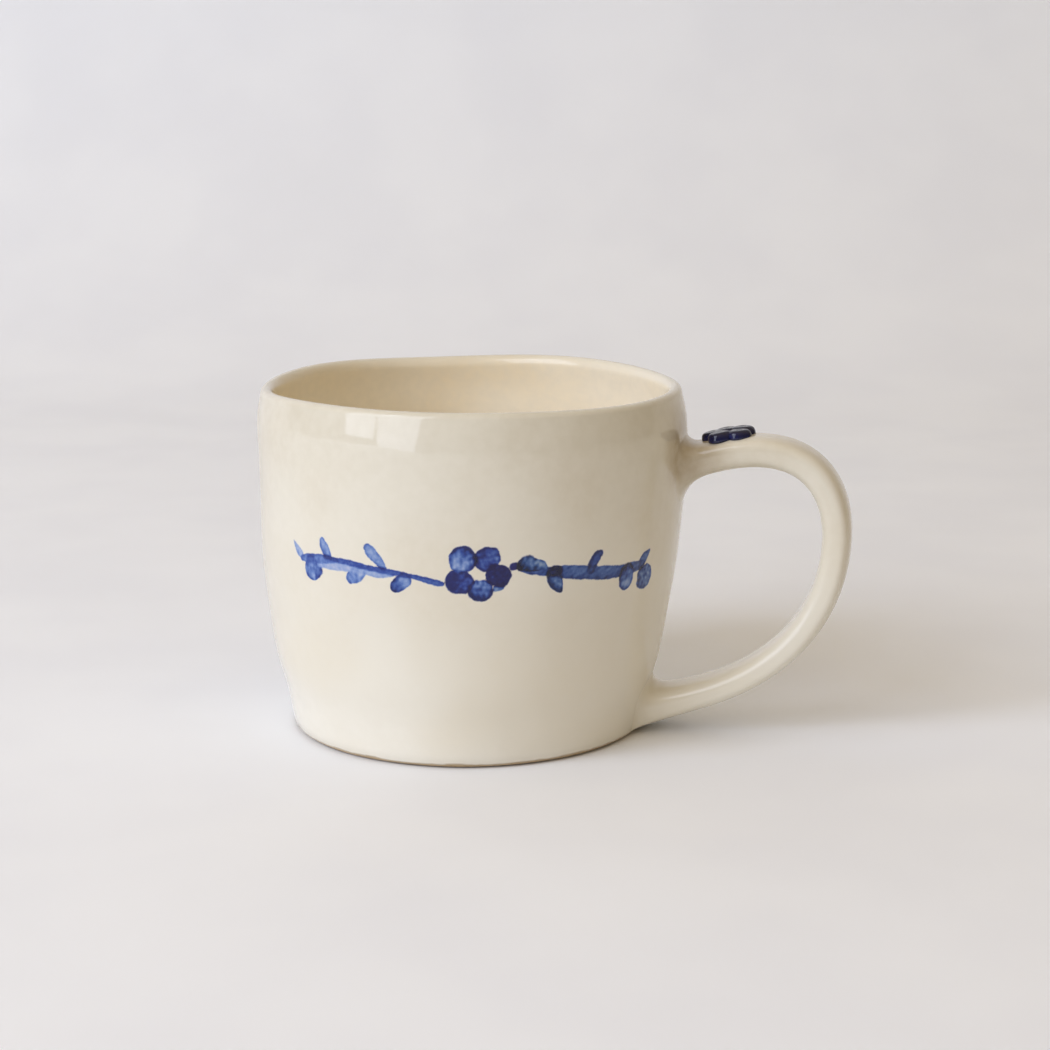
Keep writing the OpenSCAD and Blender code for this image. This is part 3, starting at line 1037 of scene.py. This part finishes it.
def above_foot(tree, place):
    """Two amounts from 0 to 1: glass over the bare clay, and full glaze over the toasted line.

    Both rise with the height, less WIPED times a soft patch.
    """
    height = add(tree, "SeparateXYZ", {0: place}).outputs["Z"]
    uneven = patches(tree, place, 5, 0.3, 0.7)
    level = add(tree, "Math", {0: uneven, 1: -WIPED, 2: height},
                operation="MULTIPLY_ADD").outputs[0]
    glass = add(tree, "MapRange", {"Value": level, "From Min": FOOT_LINE - WIPED,
                                   "From Max": FOOT_LINE}).outputs["Result"]
    full = add(tree, "MapRange", {"Value": level, "From Min": FOOT_LINE,
                                  "From Max": FOOT_LINE + TOASTED}).outputs["Result"]
    return glass, full


print(f"the glaze ends {FOOT_LINE * 1000:.1f} mm above the table")

# %% Ripples and grain
RIPPLE_LONG, GRAIN_LONG = 11, 0.9   # mm
RIPPLE_HIGH = 0.00023            # metres from the lowest to the highest that a ripple could be
GRAIN_HIGH = 0.02                # height of the grain as a share of the ripples'


def glaze_relief(tree, place):
    """The bump of a glaze: ripples plus grain, each a noise, the grain times GRAIN_HIGH."""
    ripples = add(tree, "TexNoise", {"Vector": place, "Scale": MM / RIPPLE_LONG, "Detail": 1.0})
    grain = add(tree, "TexNoise", {"Vector": place, "Scale": MM / GRAIN_LONG, "Detail": 1.0})
    relief = add(tree, "Math", {0: grain.outputs[0], 1: GRAIN_HIGH, 2: ripples.outputs[0]},
                 operation="MULTIPLY_ADD").outputs[0]
    return add(tree, "Bump", {"Height": relief, "Strength": 1.0,
                              "Distance": RIPPLE_HIGH}).outputs["Normal"]


print(f"ripples of up to {RIPPLE_HIGH * 1000:.2f} mm over {RIPPLE_LONG} mm bend the reflections")

# %% The three glazes
def glazed(name, painted=False, lit_inside=0.0):
    """Clear gloss over cream stoneware down to the foot line, bare clay under it.

    A painted one reads the vine and which side is inside from the mesh.
    """
    material, tree, shader, place = new_material(name)
    inside = add(tree, "Attribute", attribute_name="inside").outputs["Fac"] if painted else lit_inside
    colour = glaze_colour(tree, place, inside)
    if painted:
        colour = cobalt_over(tree, place, colour)
    glass, full = above_foot(tree, place)
    colour = add(tree, "Mix", {FACTOR: full, UNDER: "#b09a79", OVER: colour},
                 data_type="RGBA").outputs[MIXED]
    colour = add(tree, "Mix", {FACTOR: glass, UNDER: clay_colour(tree, place), OVER: colour},
                 data_type="RGBA").outputs[MIXED]
    tree.links.new(colour, shader.inputs["Base Color"])
    polish = add(tree, "MapRange", {"Value": patches(tree, place, 3, 0.3, 0.7),
                                    "To Min": 0.045, "To Max": 0.095}).outputs["Result"]
    rough = add(tree, "MapRange", {"Value": glass, "To Min": 0.85, "To Max": polish})
    tree.links.new(rough.outputs["Result"], shader.inputs["Roughness"])
    tree.links.new(glaze_relief(tree, place), shader.inputs["Normal"])
    shader.inputs["IOR"].default_value = GLAZE_IOR
    return material


painted_glaze = glazed("painted_clear_gloss_over_stoneware", painted=True)
clear_glaze = glazed("clear_gloss_over_stoneware")
# painted light: the inside's glaze, on the floor and its coil, uses the lighter, warmer creams
lit_inside_glaze = glazed("lit_inside_clear_gloss_over_stoneware", lit_inside=1.0)
print(f"the painted glaze has {len(painted_glaze.node_tree.nodes)} nodes")

# %% [markdown]
# ### Bare stoneware, and cobalt over raised clay
#
# The underside stays unglazed: matt, dry and slightly gritty. The raised flower is brushed with
# so much cobalt that it is nearly black, under a full coat of gloss. It only breaks to a clearer
# blue where the glaze drew thin over the rims of the petals. Ambient occlusion could find the
# rims, but each dab's grid knows them, so they are a value on its mesh.

# %% Bare fired clay
def bare_clay(name):
    """Unglazed stoneware: dry and gritty, so light sinks in and nothing is mirrored."""
    material, tree, shader, place = new_material(name)
    tree.links.new(clay_colour(tree, place), shader.inputs["Base Color"])
    grit = add(tree, "TexNoise", {"Vector": place, "Scale": MM / 0.5, "Detail": 4.0})
    bump = add(tree, "Bump", {"Height": grit.outputs[0], "Distance": 0.00012})
    tree.links.new(bump.outputs["Normal"], shader.inputs["Normal"])
    shader.inputs["Roughness"].default_value = 0.88
    shader.inputs["IOR"].default_value = 1.5
    return material


raw_clay = bare_clay("bare_fired_stoneware")
print(f"{raw_clay.name} has {len(raw_clay.node_tree.nodes)} nodes")

# %% Deep cobalt over raised clay
def deep_cobalt(name):
    """Heavy cobalt under gloss, clearer blue on the rims: rim + 0.7 mottle - 0.55 is its ramp's place."""
    material, tree, shader, place = new_material(name)
    rim = add(tree, "Attribute", attribute_name="rim").outputs["Fac"]
    mottle = add(tree, "TexNoise", {"Vector": place, "Scale": MM / 1.6, "Detail": 3.0}).outputs[0]
    thin = add(tree, "Math", {0: mottle, 1: 0.7, 2: rim}, operation="MULTIPLY_ADD").outputs[0]
    thin = add(tree, "Math", {0: thin, 1: 0.55}, operation="SUBTRACT").outputs[0]
    colour = add(tree, "ValToRGB", {"Fac": thin}, stops=[
        (0.0, "#04061c"), (0.5, "#070a2a"), (0.85, "#0d1444"), (1.0, "#1c2668"),
    ]).outputs["Color"]
    tree.links.new(colour, shader.inputs["Base Color"])
    ripple_map = add(tree, "TexNoise", {"Vector": place, "Scale": MM / 2.5, "Detail": 1.0})
    bump = add(tree, "Bump", {"Height": ripple_map.outputs[0], "Distance": 0.00012})
    tree.links.new(bump.outputs["Normal"], shader.inputs["Normal"])
    shader.inputs["Roughness"].default_value = 0.07
    shader.inputs["IOR"].default_value = GLAZE_IOR
    return material


dark_cobalt = deep_cobalt("heavy_cobalt_under_gloss")
print("materials:", ", ".join(m.name for m in bpy.data.materials))

# %% Every piece gets its material
def finish_piece(piece, node, slot, *materials):
    """The piece stands for its CAD node and takes its materials. slot is not used."""
    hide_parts(node)
    for material in materials:
        piece.data.materials.append(material)


finish_piece(wall, "wall", "cream_glaze", painted_glaze)
middles = np.zeros(3 * len(base_disc.data.polygons))
base_disc.data.polygons.foreach_get("center", middles)
base_disc.data.polygons.foreach_set("material_index", (middles[2::3] < FOOT_LINE).astype(int))
finish_piece(base_disc, "base_disc", "bare_stoneware", lit_inside_glaze, raw_clay)
finish_piece(seam_coil, "floor_seam_coil", "cream_glaze", lit_inside_glaze)
finish_piece(strap, "handle_strap", "cream_glaze", clear_glaze)
finish_piece(upper_coil, "upper_joint_coil", "cream_glaze", clear_glaze)
finish_piece(lower_coil, "lower_joint_coil", "cream_glaze", clear_glaze)
for k, petal in enumerate(petals):
    finish_piece(petal, f"petal_{k + 1}", "cobalt_glaze", dark_cobalt)
finish_piece(eye, "flower_eye", "cobalt_glaze", dark_cobalt)

# %% [markdown]
# ## The stage, the light and the camera
#
# A plain pale sweep carries the mug: one sheet that is floor in front and curves up to a wall
# behind, so no corner shows. The light comes through a tall window of two panes to the left. A
# smaller key light beside it gives the shadow its shape and stays out of the glaze's reflections.
# The rest of the room is a soft warm light, stronger from above than from the side. A picture of a
# real room could light the scene too, but three lights and a plain world are easier to adjust.

# %% A plain sweep
SWEEP_FRONT = 0.9                # metres from the mug to the sheet's front edge
SWEEP_BACK = 0.42                # and to where it begins to curve up
SWEEP_R = 0.25
SWEEP_SIDE = 1.6
SWEEP_TOP = 1.6
SWEEP_GAP = 0.0003               # metres that the sheet lies below the foot


def turn_front(p):
    """Turns points from the viewer's frame, which looks along +Y, into the frame's axes."""
    c, s = np.cos(VIEW_TURN), np.sin(VIEW_TURN)
    x, y, z = np.moveaxis(np.asarray(p, float), -1, 0)
    return np.stack([c * x - s * y, s * x + c * y, z], axis=-1)


bend = np.radians(np.linspace(0, 90, 24))
sweep_y = np.concatenate([[-SWEEP_FRONT, 0], SWEEP_BACK + SWEEP_R * np.sin(bend), [SWEEP_BACK + SWEEP_R]])
sweep_z = np.concatenate([[0, 0], SWEEP_R * (1 - np.cos(bend)), [SWEEP_TOP]]) - SWEEP_GAP
sweep_x = np.linspace(-SWEEP_SIDE, SWEEP_SIDE, 9)
sweep = turn_front(np.stack(np.broadcast_arrays(
    sweep_x[None, :], sweep_y[:, None], sweep_z[:, None]), axis=-1))
print(f"a sweep {2 * SWEEP_SIDE:.1f} m wide, {SWEEP_FRONT + SWEEP_BACK + SWEEP_R:.2f} m deep")

# %% White paper on the stage
mesh = bpy.data.meshes.new("sweep")
mesh.from_pydata(sweep.reshape(-1, 3).tolist(), [],
                 grid_faces(*sweep.shape[:2], False, False).tolist())
mesh.shade_smooth()
floor = bpy.data.objects.new("sweep", mesh)
bpy.context.scene.collection.objects.link(floor)
# Uncoated paper is matt, so the mug casts a shadow on it but is not mirrored
paper, tree, shader, place = new_material("matt_white_paper")
white = add(tree, "Mix", {FACTOR: patches(tree, place, 60, 0.3, 0.7), UNDER: "#f4f6f9",
                          OVER: "#f0f2f6"}, data_type="RGBA").outputs[MIXED]
tree.links.new(white, shader.inputs["Base Color"])
shader.inputs["Roughness"].default_value = 0.9
floor.data.materials.append(paper)
print(f"the paper reflects {linear('#f4f6f9')[1] * 100:.0f}% of green light")

# %% The panes and the key light
# Each light: degrees round from the viewer (negative is left), degrees up, width, height, watts
PANES = {
    "window_left": (-58.0, 28.0, 0.50, 1.3, 6.0),
    "window_right": (-36.0, 23.0, 0.60, 1.7, 9.5),
}
KEY = (-61.0, 33.0, 0.45, 0.6, 4.7)
WINDOW_FAR = 1.5                 # metres from the mug
DAYLIGHT = "#e3ecff"             # cool, like a cloudy sky
print(f"the panes give {sum(settings[-1] for settings in PANES.values()):.1f} W together")

# %% Where a light stands
def towards(way, up, far):
    """A place far metres from the mug's middle, way degrees round and up degrees above."""
    a, e = np.radians([way - 90, up])
    flat = turn_front([np.cos(a) * np.cos(e), np.sin(a) * np.cos(e), np.sin(e)])
    return flat * far + np.array([0, 0, HEIGHT / 2000])


print(f"the key light stands {towards(*KEY[:2], WINDOW_FAR)[2]:.2f} m above the table")

# %% One pane of light
def pane(name, way, up, width, height, power):
    """One pane of the window: a soft rectangle of light turned to the mug."""
    light = bpy.data.lights.new(name, "AREA")
    light.shape = "RECTANGLE"
    light.size = width
    light.size_y = height
    light.energy = power
    light.color = linear(DAYLIGHT)[:3]
    lamp = bpy.data.objects.new(name, light)
    lamp.location = towards(way, up, WINDOW_FAR)
    aim = np.radians(way - 90) + VIEW_TURN
    lamp.rotation_euler = (np.radians(90 - up), 0, aim + np.pi / 2)
    bpy.context.scene.collection.objects.link(lamp)
    return lamp


for name, settings in PANES.items():
    pane(name, *settings)
key = pane("key_light", *KEY)
key.visible_glossy = False       # it shapes the shadow but does not show in the glaze
print("lights:", ", ".join(f"{lamp.name} {lamp.energy:.1f} W" for lamp in bpy.data.lights))

# %% The room
ROOM = (0.17, 0.70)              # strength of the room's light from the side and from above
LAMPLIGHT = "#ffe9c6"            # warm, from lamps and wooden furniture
world = bpy.data.worlds.new("soft_room")
world.use_nodes = True
tree = world.node_tree
way = add(tree, "SeparateXYZ", {0: add(tree, "TexCoord").outputs["Generated"]}).outputs["Z"]
sky = add(tree, "MapRange", {"Value": way, "From Min": 0.0, "From Max": 1.0,
                             "To Min": ROOM[0], "To Max": ROOM[1]}).outputs["Result"]
tree.nodes["Background"].inputs["Color"].default_value = linear(LAMPLIGHT)
tree.links.new(sky, tree.nodes["Background"].inputs["Strength"])
bpy.context.scene.world = world
bpy.context.scene.view_settings.view_transform = "Standard"
print(f"the room gives {ROOM[1] / ROOM[0]:.1f} times more light from above than from the side")

# %% The camera
CAMERA_UP = 11.85                # degrees that the camera looks down
CAMERA_AT = (0.01125, -0.500, 0.1482)  # metres, before it is turned to the front
camera_data = bpy.data.cameras.new("camera")
camera_data.lens = 79.76
camera_data.sensor_width = 36.0
camera = bpy.data.objects.new("camera", camera_data)
camera.location = turn_front(CAMERA_AT)
camera.rotation_euler = (np.radians(90 - CAMERA_UP), 0, VIEW_TURN)
bpy.context.scene.collection.objects.link(camera)
bpy.context.scene.camera = camera
print(f"a {camera_data.lens:.0f} mm lens, {np.linalg.norm(camera.location) * 1000:.0f} mm from the foot")
